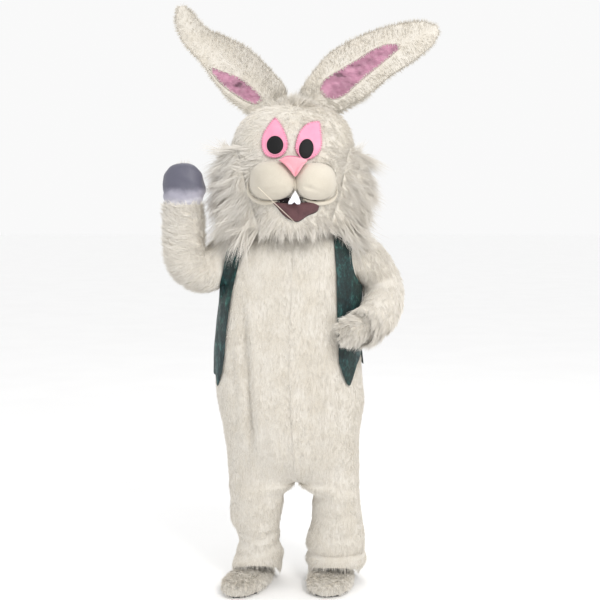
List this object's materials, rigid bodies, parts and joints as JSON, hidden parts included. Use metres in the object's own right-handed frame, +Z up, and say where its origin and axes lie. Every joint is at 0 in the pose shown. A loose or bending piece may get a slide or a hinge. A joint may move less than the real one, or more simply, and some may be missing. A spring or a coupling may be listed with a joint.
{
  "type": "rabbit mascot costume",
  "caption": "Full-body fur rabbit walkabout costume with a large head, long ears, green velvet vest, mitts and foot covers, in its worn pose, hollow",
  "frame": {"origin": "middle of the neck opening, where the wearer's neck and shoulders carry the costume", "axes": "Z up, the costume faces -Y, the wearer's left is +X"},
  "size_m": [1.0137, 0.5144, 2.1675],
  "materials": {
    "fur": "deep cream-white synthetic fur",
    "long_fur": "long wispy cream-white synthetic fur",
    "cream_fleece": "smooth cream fleece",
    "nose_plush": "salmon-pink plush",
    "pink_felt": "pink felt",
    "eye_mesh": "black mesh to see out through",
    "ear_satin": "pink crushed satin",
    "mouth_black": "black cloth",
    "lip_mauve": "mauve fleece",
    "white_felt": "white felt",
    "whisker_thread": "pale stiff thread",
    "green_velvet": "dark green crushed velvet",
    "white_satin": "smooth white cloth",
    "outsole": "plain grey outsole"
  },
  "bodies": {
    "root": {"suit_front_right": "fur", "suit_front_left": "fur", "suit_back_right": "fur", "suit_back_left": "fur", "trousers_front_right": "fur", "trousers_front_left": "fur", "trousers_back_right": "fur", "trousers_back_left": "fur", "sleeve_right": "fur", "sleeve_left": "fur", "foot_right": "fur", "foot_left": "fur", "head_front": "fur", "head_back": "fur", "ear_right": "fur", "ear_left": "fur", "mitt_left": "fur", "cheek_right": "long_fur", "cheek_left": "long_fur", "muzzle_right": "cream_fleece", "muzzle_left": "cream_fleece", "nose": "nose_plush", "eye_patch_right": "pink_felt", "eye_patch_left": "pink_felt", "eye_right": "eye_mesh", "eye_left": "eye_mesh", "ear_lining_right": "ear_satin", "ear_lining_left": "ear_satin", "mouth_lining": "mouth_black", "lower_lip": "lip_mauve", "teeth": "white_felt", "whisker": "whisker_thread", "vest_front_right": "green_velvet", "vest_front_left": "green_velvet", "vest_back": "green_velvet", "mitt_right": "white_satin", "sole_right": "outsole", "sole_left": "outsole"}
  },
  "joints": []
}
